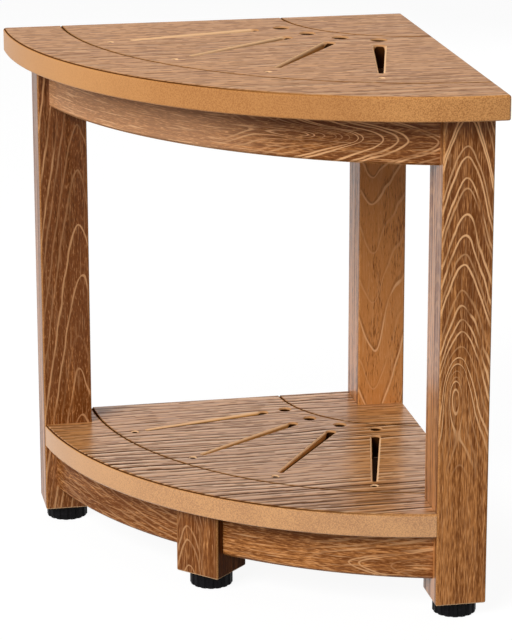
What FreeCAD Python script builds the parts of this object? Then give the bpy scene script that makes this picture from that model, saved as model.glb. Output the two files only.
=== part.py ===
import FreeCAD, Part
import math
import os

# Corner shower bench of faux-teak board, in millimetres.
# It is drawn from the room corner that it stands in: X runs along the back wall, Y along the side wall
# and Z up from the floor. part_frame then turns it so that the back wall lies towards +Y and the side
# wall towards +X, with the origin on the floor under the middle of its outline.

# Seat and shelf boards
seat_height = 450.0          # floor to the seat's upper face
seat_reach = 362.0           # corner to either tip, along the straight edges
tip_flat = 6.0               # straight stretch at each tip, beside the round front
shelf_height = 94.3          # floor to the shelf's upper face
panel_thickness = 20.8
panel_edge_round = 2.5       # upper edges
panel_under_round = 1.5      # lower edges
panel_corner_round = 2.0     # upright edges
shelf_edge_inset = 1.5       # legs' outer faces to the shelf's straight edges
shelf_tip_inset = 0.5        # legs' outer faces to the ends of the shelf's round front
notch_gap = 0.2              # shelf to the legs that it is notched round

# Drainage pattern of the seat, measured along its slots from the corner out
seat_inner_groove = 112.5
seat_inner_hole_step = 19.0
seat_slot_start_step = 22.5
seat_slot_end_step = 19.0
seat_outer_hole_step = 19.8
seat_outer_groove_step = 51.2
seat_fan_centre = 41.5       # corner to the point that the slots fan out from
seat_fan_angle = 21.6        # between neighbouring slots
seat_slot_wide = 9.8
seat_slot_narrow = 3.6
seat_inner_hole = 12.0
seat_outer_hole = 3.2

# Drainage pattern of the shelf
shelf_inner_groove = 114.5
shelf_inner_hole_step = 12.0
shelf_slot_start_step = 18.5
shelf_slot_end_step = 11.0
shelf_outer_hole_step = 15.6
shelf_outer_groove_step = 51.4
shelf_fan_centre = 36.0
shelf_fan_angle = 20.8
shelf_slot_wide = 7.0
shelf_slot_narrow = 3.2
shelf_inner_hole = 9.2
shelf_outer_hole = 4.0

slot_count = 4
slot_rim_round = 2.0         # upper rims of the slots and holes
groove_width = 2.0
groove_depth = 1.6

# Legs
leg_width = 43.0
leg_inset = 5.5              # seat's straight edges to the legs' outer faces
tip_overhang = 23.5          # seat tips past the side legs
leg_arris = 1.6
front_leg_proud = 7.62       # short leg's outer face past the outer faces of its aprons

# Rails and aprons
rail_thickness = 18.0
rail_setback = 10.5          # legs' outer faces to the rails' and aprons' outer faces
apron_radius = 394.0         # outer face of the curved aprons
seat_rail_height = 42.4
shelf_rail_height = 40.7
rail_bevel = 2.2

# Levelling feet: a fluted pad on a stud that screws into an insert in the leg
foot_height = 12.7           # floor to the leg's lower end, screwed fully in
foot_gap = 0.3               # pad to leg, screwed fully in
pad_diameter = 36.6
pad_bevel = 0.6
pad_floor = 4.0              # pad below the stud
flute_count = 16
flute_radius = 2.4
flute_depth = 1.4
stud_diameter = 8.0
stud_pitch = 1.25
stud_thread_depth = 0.6
stud_grip = 21.0             # stud inside the leg, screwed fully in
stud_fit = 0.05              # running clearance on the radius
insert_diameter = 12.0
insert_length = 22.0
stud_end_gap = 0.3           # stud to the floor of its bore in the pad

# Corner blocks, their hanger bolts, flanged nuts and screws
block_thickness = 18.0
block_margin = 1.0           # block to the rails' upper and lower edges
block_leg_gap = 6.0          # leg's inner corner to the block
block_fit = 0.1              # block to the apron's curved inner face
bolt_diameter = 8.0
bolt_bite = 28.0             # bolt inside the leg
bolt_end = 11.0              # bolt past the block
bolt_chamfer = 1.0
bolt_bore_gap = 0.3          # bolt to its hole in the block
nut_flats = 13.0
nut_height = 8.0
nut_flange_diameter = 17.0
nut_flange_height = 1.6
block_screw_length = 23.0
block_screw_rise = 13.5      # above and below the bolt
block_screw_seat = 9.0       # block under the screw's head
block_screw_share = 0.4      # place across the block's thickness, from the leg side
block_pocket = 40.0

# Wood screws and dowels
screw_diameter = 4.5
screw_head_diameter = 9.0
screw_head_height = 2.6
screw_tip = 4.0
driver_slot_width = 1.2
driver_slot_length = 5.0
driver_slot_depth = 1.4
head_gap = 0.5               # screw head to the wall of its recess
panel_screw_length = 35.0
panel_screw_bite = 14.0      # screw inside the seat or shelf
rail_screw_shares = (0.25, 0.75)        # places along each straight rail
seat_apron_screw_shares = (0.5, 1.0)    # places from a side leg to the middle of the seat's apron
shelf_apron_screw_shares = (0.4, 0.8)   # places from a side leg to the short leg
dowel_diameter = 8.0
dowel_inner_gap = 1.5        # rails' dowels to the dowel in the leg's upper end
dowel_rise = 11.0            # above and below the rail's middle
hole_end_gap = 1.0           # past the ends of dowels, screws and bolts
dowel_chamfer = 0.8
leg_dowel_diameter = 10.0
leg_dowel_length = 26.0
leg_dowel_bite = 12.0        # dowel inside the seat or shelf
fastener_fit = 0.05          # fastener to the wall of its hole

# Places worked out from the sizes above
dowel_length = leg_width - leg_dowel_diameter - 2 * dowel_inner_gap
leg_far = leg_inset + leg_width
side_leg_far = seat_reach - tip_overhang
side_leg_near = side_leg_far - leg_width
rail_outer = leg_inset + rail_setback
rail_inner = rail_outer + rail_thickness
rail_middle = rail_outer + rail_thickness / 2
seat_under = seat_height - panel_thickness
shelf_under = shelf_height - panel_thickness
shelf_edge = leg_inset + shelf_edge_inset
shelf_radius = math.hypot(side_leg_far - shelf_tip_inset, leg_far)
apron_inner_radius = apron_radius - rail_thickness
apron_middle_radius = apron_radius - rail_thickness / 2
apron_end = side_leg_far - rail_setback
apron_end_half_sum = (apron_end + leg_far) / 2
apron_end_half_gap = (apron_end - leg_far) / 2
apron_centre = apron_end_half_sum - math.sqrt(apron_radius ** 2 / 2 - apron_end_half_gap ** 2)
front_leg_reach = apron_centre * math.sqrt(2) + apron_radius + front_leg_proud
front_leg_middle = (front_leg_reach - leg_width / 2) * math.sqrt(0.5)
beyond = 2 * seat_reach      # past everything, for cutting tools
same_place = 0.001


def vector(x, y, z=0.0):
    return FreeCAD.Vector(x, y, z)


up = vector(0, 0, 1)
to_right = vector(-1, 0)
to_back = vector(0, -1)
outward = vector(1, 1).normalize()
sideways = vector(1, -1).normalize()


def across(item):
    """The same thing on the other side of the bench's diagonal."""
    if isinstance(item, FreeCAD.Vector):
        return vector(item.y, item.x, item.z)
    return item.mirror(vector(0, 0), sideways)


def aimed(shape, place, direction):
    """A copy of a shape drawn up from the origin, moved to a place and turned to a direction."""
    copy = shape.copy()
    copy.Placement = FreeCAD.Placement(place, FreeCAD.Rotation(up, direction))
    return copy


def rod(diameter, length, place, direction, gap=0.0):
    return Part.makeCylinder(diameter / 2 + gap, length, place, direction)


def cuboid(x_low, x_high, y_low, y_high, z_low, z_high):
    return Part.makeBox(x_high - x_low, y_high - y_low, z_high - z_low, vector(x_low, y_low, z_low))


def turned(profile):
    """A solid of revolution about Z from points of radius and height."""
    points = [vector(radius, 0, height) for radius, height in profile]
    face = Part.Face(Part.makePolygon(points + points[:1]))
    return face.revolve(vector(0, 0), up, 360)


def bored(board, holes):
    """A board with those of the holes that reach it."""
    near = [hole for hole in holes if hole.BoundBox.intersect(board.BoundBox)]
    return board.cut(near) if near else board


def level(edge, height):
    """Whether an edge lies flat at a height."""
    low, high = edge.BoundBox.ZMin, edge.BoundBox.ZMax
    return abs(low - height) < same_place and abs(high - height) < same_place


# Boards with the drainage pattern

def along_slot(fan_centre, angle, radius):
    """The point on a slot's axis that lies at a radius from the corner."""
    reach = math.sqrt(radius ** 2 - (fan_centre * math.sin(angle)) ** 2) - fan_centre * math.cos(angle)
    return outward * (fan_centre + reach * math.cos(angle)) + sideways * (reach * math.sin(angle))


def slot_prism(start, end, wide, narrow, height):
    """A tapered slot with round ends, from its wide end to its narrow end."""
    run = (end - start).normalize()
    wide_centre = start + run * (wide / 2)
    narrow_centre = end - run * (narrow / 2)
    lean = math.asin((wide - narrow) / 2 / (narrow_centre - wide_centre).Length)
    square = vector(-run.y, run.x)
    left = run * math.sin(lean) + square * math.cos(lean)
    right = run * math.sin(lean) - square * math.cos(lean)
    wide_left = wide_centre + left * (wide / 2)
    wide_right = wide_centre + right * (wide / 2)
    narrow_left = narrow_centre + left * (narrow / 2)
    narrow_right = narrow_centre + right * (narrow / 2)
    edges = [
        Part.LineSegment(wide_left, narrow_left).toShape(),
        Part.Arc(narrow_left, end, narrow_right).toShape(),
        Part.LineSegment(narrow_right, wide_right).toShape(),
        Part.Arc(wide_right, start, wide_left).toShape(),
    ]
    return Part.Face(Part.Wire(edges)).extrude(up * height)


def ring_groove(radius, top):
    half = groove_width / 2
    groove = turned([(radius - half, 0), (radius + half, 0), (radius, -groove_depth)])
    groove.translate(up * top)
    return groove


def drained(board, top, fan_centre, fan_angle, radii, slot_widths, hole_diameters):
    """A board with its slots, holes and grooves; radii run from the inner groove to the outer one."""
    inner_groove, inner_hole, slot_start, slot_end, outer_hole, outer_groove = radii
    cuts = []
    for index in range(slot_count):
        angle = math.radians(fan_angle) * (index - (slot_count - 1) / 2)
        start = along_slot(fan_centre, angle, slot_start)
        end = along_slot(fan_centre, angle, slot_end)
        cuts.append(slot_prism(start, end, slot_widths[0], slot_widths[1], seat_height))
        for radius, diameter in zip((inner_hole, outer_hole), hole_diameters):
            cuts.append(rod(diameter, seat_height, along_slot(fan_centre, angle, radius), up))
    for cut in cuts:
        cut.translate(up * (top - seat_height / 2))
    board = board.cut(cuts)
    flat_tops = [face for face in board.Faces if face.BoundBox.ZMin > top - same_place]
    upper = max(flat_tops, key=lambda face: face.Area)
    rims = [edge for wire in upper.Wires if not wire.isSame(upper.OuterWire) for edge in wire.Edges]
    board = board.makeFillet(slot_rim_round, rims)
    return board.cut([ring_groove(inner_groove, top), ring_groove(outer_groove, top)])


def pattern_radii(inner_groove, inner_hole_step, slot_start_step, edge, outer_groove_step, outer_hole_step,
                  slot_end_step):
    inner_hole = inner_groove + inner_hole_step
    outer_groove = edge - outer_groove_step
    outer_hole = outer_groove - outer_hole_step
    return (inner_groove, inner_hole, inner_hole + slot_start_step, outer_hole - slot_end_step, outer_hole,
            outer_groove)


def seat_top():
    tip = seat_reach
    flat = tip_flat
    round_middle = flat + (tip - flat) * math.sqrt(0.5)
    outline = [
        Part.LineSegment(vector(0, 0), vector(tip, 0)).toShape(),
        Part.LineSegment(vector(tip, 0), vector(tip, flat)).toShape(),
        Part.Arc(vector(tip, flat), vector(round_middle, round_middle), vector(flat, tip)).toShape(),
        Part.LineSegment(vector(flat, tip), vector(0, tip)).toShape(),
        Part.LineSegment(vector(0, tip), vector(0, 0)).toShape(),
    ]
    board = Part.Face(Part.Wire(outline)).extrude(up * panel_thickness)
    board.translate(up * seat_under)
    corners = [vector(0, 0), vector(tip, 0), vector(0, tip)]
    upright = []
    for edge in board.Edges:
        middle = vector(edge.CenterOfMass.x, edge.CenterOfMass.y)
        if any((middle - corner).Length < same_place for corner in corners):
            upright.append(edge)
    board = board.makeFillet(panel_corner_round, upright)
    board = board.makeFillet(panel_edge_round, [edge for edge in board.Edges if level(edge, seat_height)])
    board = board.makeFillet(panel_under_round, [edge for edge in board.Edges if level(edge, seat_under)])
    radii = pattern_radii(seat_inner_groove, seat_inner_hole_step, seat_slot_start_step, seat_reach,
                          seat_outer_groove_step, seat_outer_hole_step, seat_slot_end_step)
    return drained(board, seat_height, seat_fan_centre, seat_fan_angle, radii,
                   (seat_slot_wide, seat_slot_narrow), (seat_inner_hole, seat_outer_hole))


def shelf_panel():
    board = Part.makeCylinder(shelf_radius, panel_thickness, vector(0, 0, shelf_under), up, 90)
    board = board.common(cuboid(shelf_edge, beyond, shelf_edge, beyond, 0, seat_height))
    wall_side = leg_far + notch_gap
    side_notch = cuboid(side_leg_near - notch_gap, beyond, 0, wall_side, 0, seat_height)
    back_notch = cuboid(0, wall_side, 0, wall_side, 0, seat_height)
    board = board.cut([side_notch, across(side_notch), back_notch])
    round_front = [edge for edge in board.Edges if isinstance(edge.Curve, Part.Circle)]
    board = board.makeFillet(panel_edge_round, [edge for edge in round_front if level(edge, shelf_height)])
    round_front = [edge for edge in board.Edges if isinstance(edge.Curve, Part.Circle)]
    board = board.makeFillet(panel_under_round, [edge for edge in round_front if level(edge, shelf_under)])
    radii = pattern_radii(shelf_inner_groove, shelf_inner_hole_step, shelf_slot_start_step, shelf_radius,
                          shelf_outer_groove_step, shelf_outer_hole_step, shelf_slot_end_step)
    return drained(board, shelf_height, shelf_fan_centre, shelf_fan_angle, radii,
                   (shelf_slot_wide, shelf_slot_narrow), (shelf_inner_hole, shelf_outer_hole))


# Legs, rails and aprons

def post(x, y, top):
    """A square leg with rounded upright and lower edges."""
    leg = cuboid(x, x + leg_width, y, y + leg_width, foot_height, top)
    return leg.makeFillet(leg_arris, [edge for edge in leg.Edges if not level(edge, top)])


def front_leg():
    leg = post(-leg_width / 2, -leg_width / 2, shelf_under)
    leg.rotate(vector(0, 0), up, 45)
    leg.translate(vector(front_leg_middle, front_leg_middle))
    return leg


def eased(board, bottom):
    """A rail or apron with its long lower edges bevelled."""
    lower = [edge for edge in board.Edges if level(edge, bottom) and edge.Length > 2 * rail_thickness]
    return board.makeChamfer(rail_bevel, lower)


def back_rail(bottom, top):
    return eased(cuboid(leg_far, side_leg_near, rail_outer, rail_inner, bottom, top), bottom)


def beside_leg(radius):
    """The point at a radius of the apron's arc where it meets the left leg."""
    return vector(apron_centre + math.sqrt(radius ** 2 - (leg_far - apron_centre) ** 2), leg_far)


def beside_front_leg(radius):
    """The point at a radius of the apron's arc where it meets the short leg."""
    half_width = leg_width / 2
    reach = apron_centre * math.sqrt(2) + math.sqrt(radius ** 2 - half_width ** 2)
    return outward * reach + sideways * half_width


def arc_edge(start, end):
    """The edge along the apron's arc from one point to another."""
    centre = vector(apron_centre, apron_centre)
    between = (start - centre).normalize() + (end - centre).normalize()
    middle = centre + between.normalize() * (start - centre).Length
    return Part.Arc(start, middle, end).toShape()


def curved_board(start, end, bottom, top):
    """A curved board between two ends, each a function of the arc's radius."""
    outer_start, outer_end = start(apron_radius), end(apron_radius)
    inner_start, inner_end = start(apron_inner_radius), end(apron_inner_radius)
    outline = [
        arc_edge(outer_start, outer_end),
        Part.LineSegment(outer_end, inner_end).toShape(),
        arc_edge(inner_end, inner_start),
        Part.LineSegment(inner_start, outer_start).toShape(),
    ]
    board = Part.Face(Part.Wire(outline)).extrude(up * (top - bottom))
    board.translate(up * bottom)
    return eased(board, bottom)


def seat_apron(bottom, top):
    """The curved board between the two side legs."""
    return curved_board(beside_leg, lambda radius: across(beside_leg(radius)), bottom, top)


def shelf_apron(bottom, top):
    """The curved board between the left leg and the short leg."""
    return curved_board(beside_leg, beside_front_leg, bottom, top)


# Fasteners, drawn up from the origin and then aimed

def dowel(diameter, length):
    peg = rod(diameter, length, vector(0, 0), up)
    rims = [edge for edge in peg.Edges if level(edge, 0) or level(edge, length)]
    return peg.makeChamfer(dowel_chamfer, rims)


def screw(length):
    """A flat-headed wood screw whose head sits at the origin and whose tip points up."""
    shank = screw_diameter / 2
    head = screw_head_diameter / 2
    body = turned([
        (0, -screw_head_height), (head, -screw_head_height), (head, 0), (shank, 0),
        (shank, length - screw_tip), (0, length),
    ])
    across_head = cuboid(-driver_slot_length / 2, driver_slot_length / 2, -driver_slot_width / 2,
                        driver_slot_width / 2, -screw_head_height, driver_slot_depth - screw_head_height)
    along_head = across_head.copy()
    along_head.rotate(vector(0, 0), up, 90)
    return body.cut([across_head, along_head])


def screw_hole(length, recess):
    """The hole for a screw, with a recess of a given depth behind its head."""
    hole = rod(screw_diameter, length + hole_end_gap, vector(0, 0), up, fastener_fit)
    return hole.fuse(rod(screw_head_diameter, recess, vector(0, 0, -recess), up, head_gap))


def flange_nut():
    corner_radius = nut_flats / 2 / math.cos(math.pi / 6)
    angles = [side * math.pi / 3 for side in range(6)]
    corners = [vector(corner_radius * math.cos(angle), corner_radius * math.sin(angle)) for angle in angles]
    nut = Part.Face(Part.makePolygon(corners + corners[:1])).extrude(up * nut_height)
    nut = nut.fuse(rod(nut_flange_diameter, nut_flange_height, vector(0, 0), up))
    return nut.cut(rod(bolt_diameter, nut_height, vector(0, 0), up, fastener_fit)).removeSplitter()


def hanger_bolt():
    """A bolt drawn from its pointed end in the leg to its flat end past the block."""
    radius = bolt_diameter / 2
    length = bolt_bite + block_leg_gap + block_thickness + bolt_end
    flat_end = radius - bolt_chamfer
    return turned([
        (0, 0), (radius, radius), (radius, length - bolt_chamfer), (flat_end, length), (0, length),
    ])


# One frame of rails round the legs, under the seat or under the shelf

class Frame:
    """Rails, aprons, corner blocks and fasteners between a lower and an upper height."""

    def __init__(self, bottom, top, aprons, apron_screw_angles):
        self.bottom = bottom
        self.top = top
        self.middle = (bottom + top) / 2
        self.aprons = aprons
        self.apron_screw_angles = apron_screw_angles
        rail = back_rail(bottom, top)
        self.rails = [rail, across(rail)]
        self.dowel_spots = self.find_dowels()
        self.screw_spots = self.find_panel_screws()
        self.bolt_spots, self.blocks, self.block_screw_spots = self.find_blocks()

    def find_dowels(self):
        """Middle points and directions of the dowels at the ends of rails and aprons."""
        spots = []
        dowel_middle = leg_far + dowel_length / 4 - apron_centre
        apron_end_middle = apron_centre + math.sqrt(apron_middle_radius ** 2 - dowel_middle ** 2)
        for rise in (-dowel_rise, dowel_rise):
            height = self.middle + rise
            ends = [
                (vector(leg_far, rail_middle, height), to_right),
                (vector(side_leg_near, rail_middle, height), to_right),
                (vector(apron_end_middle, leg_far, height), to_back),
            ]
            if len(self.aprons) > 1:
                ends.append((beside_front_leg(apron_middle_radius) + up * height, sideways))
            spots += ends + [(across(place), across(direction)) for place, direction in ends]
        return spots

    def find_panel_screws(self):
        """Head seats of the screws that go up through rails and aprons into the board above."""
        height = self.top + panel_screw_bite - panel_screw_length
        run = side_leg_near - leg_far
        spots = []
        for share in rail_screw_shares:
            spots.append(vector(leg_far + share * run, rail_middle, height))
        for angle in self.apron_screw_angles:
            spot = vector(apron_centre, apron_centre, height)
            spot += vector(math.cos(angle), math.sin(angle)) * apron_middle_radius
            spots.append(spot)
        mirrored = [across(spot) for spot in spots if abs(spot.x - spot.y) > same_place]
        return spots + mirrored

    def find_blocks(self):
        """Bolts, corner blocks and block screws of the left, right and back legs."""
        side_corner = vector(side_leg_near, leg_far, self.middle)
        back_corner = vector(leg_far, leg_far, self.middle)
        side_block = self.corner_block(side_corner, sideways)
        inward = outward * -1
        bolts = [(side_corner, sideways), (across(side_corner), across(sideways)), (back_corner, inward)]
        blocks = [side_block, self.corner_block(back_corner, inward)]
        side_screws = self.block_screws(side_corner, sideways, True)
        back_screws = self.block_screws(back_corner, inward, False)
        screws = []
        for place, direction in side_screws + back_screws:
            screws += [(place, direction), (across(place), across(direction))]
        return bolts, blocks, screws

    def corner_block(self, corner, to_leg):
        """A strip across a corner of the frame, cut to the faces of the rails or apron that it bridges."""
        height = self.top - self.bottom - 2 * block_margin
        start = vector(-block_leg_gap - block_thickness, -beyond / 2)
        strip = Part.makeBox(block_thickness, beyond, height, start)
        strip.rotate(vector(0, 0), up, math.degrees(math.atan2(to_leg.y, to_leg.x)))
        strip.translate(vector(corner.x, corner.y, self.bottom + block_margin))
        inside = cuboid(rail_inner, beyond, rail_inner, beyond, self.bottom, self.top)
        centre = vector(apron_centre, apron_centre, self.bottom)
        round_diameter = 2 * (apron_inner_radius - block_fit)
        inside = inside.common(rod(round_diameter, self.top - self.bottom, centre, up))
        return strip.common(inside)

    def block_screws(self, corner, to_leg, meets_apron):
        """Head seats and directions of a block's screws into the back rail and the apron."""
        depth = block_leg_gap + block_screw_share * block_thickness
        line = corner - to_leg * depth
        spots = []
        for rise in (-block_screw_rise, block_screw_rise):
            height = self.middle + rise
            shift = (rail_inner - line.y) * (1 if meets_apron else -1)
            spots.append((vector(line.x + shift, rail_inner + block_screw_seat, height), to_back))
            if meets_apron:
                angle = math.acos((line.x - line.y) / apron_inner_radius * math.sqrt(0.5)) - math.pi / 4
                direction = vector(math.cos(angle), math.sin(angle))
                seat = vector(apron_centre, apron_centre, height)
                seat += direction * (apron_inner_radius - block_screw_seat)
                spots.append((seat, direction))
        return spots

    def dowels(self):
        peg = dowel(dowel_diameter, dowel_length)
        half = dowel_length / 2
        return [aimed(peg, place - direction * half, direction) for place, direction in self.dowel_spots]

    def panel_screws(self):
        fixing = screw(panel_screw_length)
        return [aimed(fixing, place, up) for place in self.screw_spots]

    def hanger_bolts(self):
        bolt = hanger_bolt()
        return [aimed(bolt, corner + to_leg * bolt_bite, to_leg * -1) for corner, to_leg in self.bolt_spots]

    def hanger_nuts(self):
        nut = flange_nut()
        depth = block_leg_gap + block_thickness
        return [aimed(nut, corner - to_leg * depth, to_leg * -1) for corner, to_leg in self.bolt_spots]

    def block_fixings(self):
        fixing = screw(block_screw_length)
        return [aimed(fixing, place, direction) for place, direction in self.block_screw_spots]

    def holes(self):
        """Everything that is bored for this frame's fasteners, in any board."""
        bores = []
        length = dowel_length + 2 * hole_end_gap
        for place, direction in self.dowel_spots:
            start = place - direction * (length / 2)
            bores.append(rod(dowel_diameter, length, start, direction, fastener_fit))
        for place in self.screw_spots:
            recess = place.z - self.bottom + hole_end_gap
            bores.append(aimed(screw_hole(panel_screw_length, recess), place, up))
        for place, direction in self.block_screw_spots:
            bores.append(aimed(screw_hole(block_screw_length, block_pocket), place, direction))
        return bores

    def bolt_bores(self):
        length = bolt_bite + hole_end_gap
        bores = []
        for corner, to_leg in self.bolt_spots:
            bores.append(rod(bolt_diameter, length, corner, to_leg, fastener_fit))
        return bores

    def drilled_blocks(self):
        """The left, right and back blocks with their bolt holes and screw holes."""
        drilled = []
        for block_solid, (corner, to_leg) in zip(self.blocks, (self.bolt_spots[0], self.bolt_spots[2])):
            bolt_hole = rod(bolt_diameter, beyond, corner, to_leg * -1, bolt_bore_gap)
            drilled.append(bored(block_solid, self.holes()).cut(bolt_hole))
        side_block, back_block = drilled
        return [side_block, across(side_block), back_block]


# Levelling feet

def foot_pad():
    """A fluted pad with a bevelled lower edge and a bore for the stud."""
    radius = pad_diameter / 2
    top = foot_height - foot_gap
    pad = turned([(0, 0), (radius - pad_bevel, 0), (radius, pad_bevel), (radius, top), (0, top)])
    flutes = []
    for index in range(flute_count):
        angle = 2 * math.pi * index / flute_count
        reach = radius - flute_depth + flute_radius
        place = vector(reach * math.cos(angle), reach * math.sin(angle))
        flutes.append(rod(2 * flute_radius, top, place, up))
    bore = rod(stud_diameter, top, vector(0, 0, pad_floor - stud_end_gap), up, stud_fit)
    return pad.cut(flutes + [bore])


def foot_stud():
    """A stud with thread ridges along the length that enters the leg."""
    crest = stud_diameter / 2
    root = crest - stud_thread_depth
    profile = [(0, pad_floor), (crest, pad_floor), (crest, foot_height)]
    turns = int(stud_grip / stud_pitch)
    for turn in range(turns):
        start = foot_height + turn * stud_pitch
        profile += [(root, start + stud_pitch / 2), (crest, start + stud_pitch)]
    end = foot_height + turns * stud_pitch
    return turned(profile + [(root, end + stud_thread_depth), (0, end + stud_thread_depth)])


def foot_insert():
    sleeve = rod(insert_diameter, insert_length, vector(0, 0, foot_height), up)
    return sleeve.cut(rod(stud_diameter, insert_length, vector(0, 0, foot_height), up, stud_fit))


def insert_bore():
    length = insert_length + hole_end_gap
    return rod(insert_diameter, length, vector(0, 0, foot_height), up, fastener_fit)


def moved(shape, place):
    copy = shape.copy()
    copy.translate(place)
    return copy


# The whole bench

def legs():
    """The legs by name, with the middle of each and the height of its upper end."""
    half = leg_width / 2
    left = post(side_leg_near, leg_inset, seat_under)
    back = post(leg_inset, leg_inset, seat_under)
    return {
        "left": (left, vector(side_leg_near + half, leg_inset + half), seat_under),
        "right": (across(left), vector(leg_inset + half, side_leg_near + half), seat_under),
        "back": (back, vector(leg_inset + half, leg_inset + half), seat_under),
        "front": (front_leg(), vector(front_leg_middle, front_leg_middle), shelf_under),
    }


def bench():
    """Every sub-part by name, drawn from the room corner."""
    seat_bottom = seat_under - seat_rail_height
    shelf_bottom = shelf_under - shelf_rail_height
    apron_start = math.asin((leg_far - apron_centre) / apron_middle_radius)
    apron_half = math.pi / 4 - apron_start
    apron_stop = apron_half - math.asin(leg_width / 2 / apron_middle_radius)
    seat_angles = [apron_start + share * apron_half for share in seat_apron_screw_shares]
    shelf_angles = [apron_start + share * apron_stop for share in shelf_apron_screw_shares]
    seat_frame = Frame(seat_bottom, seat_under, [seat_apron(seat_bottom, seat_under)], seat_angles)
    left_apron = shelf_apron(shelf_bottom, shelf_under)
    shelf_frame = Frame(shelf_bottom, shelf_under, [left_apron, across(left_apron)], shelf_angles)
    frames = {"seat": seat_frame, "shelf": shelf_frame}

    bores = seat_frame.holes() + seat_frame.bolt_bores() + shelf_frame.holes() + shelf_frame.bolt_bores()
    dowels = []
    inserts = []
    parts = {}
    for name, (leg, middle, top) in legs().items():
        start = middle + up * (top + leg_dowel_bite - leg_dowel_length)
        dowels.append(moved(dowel(leg_dowel_diameter, leg_dowel_length), start))
        length = leg_dowel_length + 2 * hole_end_gap
        bores.append(rod(leg_dowel_diameter, length, start - up * hole_end_gap, up, fastener_fit))
        bores.append(moved(insert_bore(), middle))
        inserts.append(moved(foot_insert(), middle))
        parts["foot_" + name + "_pad"] = moved(foot_pad(), middle)
        parts["foot_" + name + "_stud"] = moved(foot_stud(), middle)
    for name, (leg, middle, top) in legs().items():
        parts["leg_" + name] = bored(leg, bores)
    parts["foot_inserts"] = Part.makeCompound(inserts)
    parts["leg_dowels"] = Part.makeCompound(dowels)

    parts["seat_top"] = bored(seat_top(), bores)
    parts["shelf_panel"] = bored(shelf_panel(), bores)
    parts["apron_seat_front"] = bored(seat_frame.aprons[0], bores)
    parts["apron_shelf_left"] = bored(shelf_frame.aprons[0], bores)
    parts["apron_shelf_right"] = bored(shelf_frame.aprons[1], bores)
    for level_name, frame in frames.items():
        for wall, rail in zip(("back", "side"), frame.rails):
            parts["rail_" + level_name + "_" + wall] = bored(rail, bores)
        for side, drilled in zip(("left", "right", "back"), frame.drilled_blocks()):
            parts["block_" + level_name + "_" + side] = drilled
        parts["hanger_bolts_" + level_name] = Part.makeCompound(frame.hanger_bolts())
        parts["hanger_nuts_" + level_name] = Part.makeCompound(frame.hanger_nuts())
        parts["block_screws_" + level_name] = Part.makeCompound(frame.block_fixings())
        parts["rail_dowels_" + level_name] = Part.makeCompound(frame.dowels())
        parts[level_name + "_screws"] = Part.makeCompound(frame.panel_screws())
    return parts


def part_frame(shape):
    """From the room corner's frame to the part's own."""
    turned_shape = shape.copy()
    turned_shape.rotate(vector(0, 0), up, 180)
    turned_shape.translate(vector(seat_reach / 2, seat_reach / 2))
    return turned_shape


os.makedirs("parts", exist_ok=True)
for node, shape in bench().items():
    solid = part_frame(shape)
    solid.exportStep("parts/" + node + ".step")
    print(node, "solids", len(solid.Solids), "valid", solid.isValid(), "volume", round(solid.Volume))
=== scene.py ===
import math

import bmesh
import bpy
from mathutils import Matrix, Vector


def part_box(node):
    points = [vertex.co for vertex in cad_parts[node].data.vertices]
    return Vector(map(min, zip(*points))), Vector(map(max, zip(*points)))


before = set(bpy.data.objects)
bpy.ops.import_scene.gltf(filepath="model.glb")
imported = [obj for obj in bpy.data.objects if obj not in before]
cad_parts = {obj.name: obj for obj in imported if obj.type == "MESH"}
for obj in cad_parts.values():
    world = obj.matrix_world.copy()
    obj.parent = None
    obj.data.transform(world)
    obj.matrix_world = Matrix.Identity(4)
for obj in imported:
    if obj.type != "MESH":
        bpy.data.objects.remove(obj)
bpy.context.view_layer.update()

bl_info = {
    "name": "Corner shower bench",
    "version": (1, 0, 0),
    "blender": (4, 5, 0),
    "location": "3D View > Sidebar > Bench",
    "description": "Finishes a corner bench of printed board with its fixings and feet, and sets a stage",
    "category": "Object",
}

MILLIMETRE = 0.001

SEAT_LOW, SEAT_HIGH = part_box("seat_top")
SHELF_LOW, SHELF_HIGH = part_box("shelf_panel")
LEG_LOW, LEG_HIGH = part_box("leg_right")
LEG_WIDTH = LEG_HIGH.x - LEG_LOW.x
CORNER = Vector((SEAT_HIGH.x, SEAT_HIGH.y, 0.0))

# Half the thickness of rails and aprons, and the aprons' outer radius, centre and middle angle
RAIL_HALF = 0.009
APRON_RADIUS = 0.394
APRON_BEYOND = 0.05276
APRON_CENTRE = Vector((CORNER.x + APRON_BEYOND, CORNER.y + APRON_BEYOND, 0.0))
APRON_MIDDLE = 1.25 * math.pi

# Added to a seed, so that each noise of a board is drawn anew
LINE_DRAW = 3.0
FLECK_DRAW = 5.0
BREAK_DRAW = 5.0
PATCH_DRAW = 7.0
PORE_DRAW = 9.0
BOLD_DRAW = 15.0

# How the numbers of lines and rows are set apart from those of other seeds, draws and lines
LINES_PER_SEED = 100.0
ROWS_PER_SEED = 10.0
STRENGTH_DRAW = 50.0
LINE_STEP = 3.7

NOISE_MIDDLE = 0.5


def colour_setting(name, description, colour):
    return bpy.props.FloatVectorProperty(
        name=name, description=description, default=colour, subtype="COLOR", min=0.0, max=1.0)


def length_setting(name, description, metres):
    return bpy.props.FloatProperty(
        name=name, description=description, default=metres, unit="LENGTH", precision=4)


def angle_setting(name, description, degrees):
    return bpy.props.FloatProperty(
        name=name, description=description, default=math.radians(degrees), subtype="ANGLE")


def number_setting(name, description, number):
    return bpy.props.FloatProperty(name=name, description=description, default=number)


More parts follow.
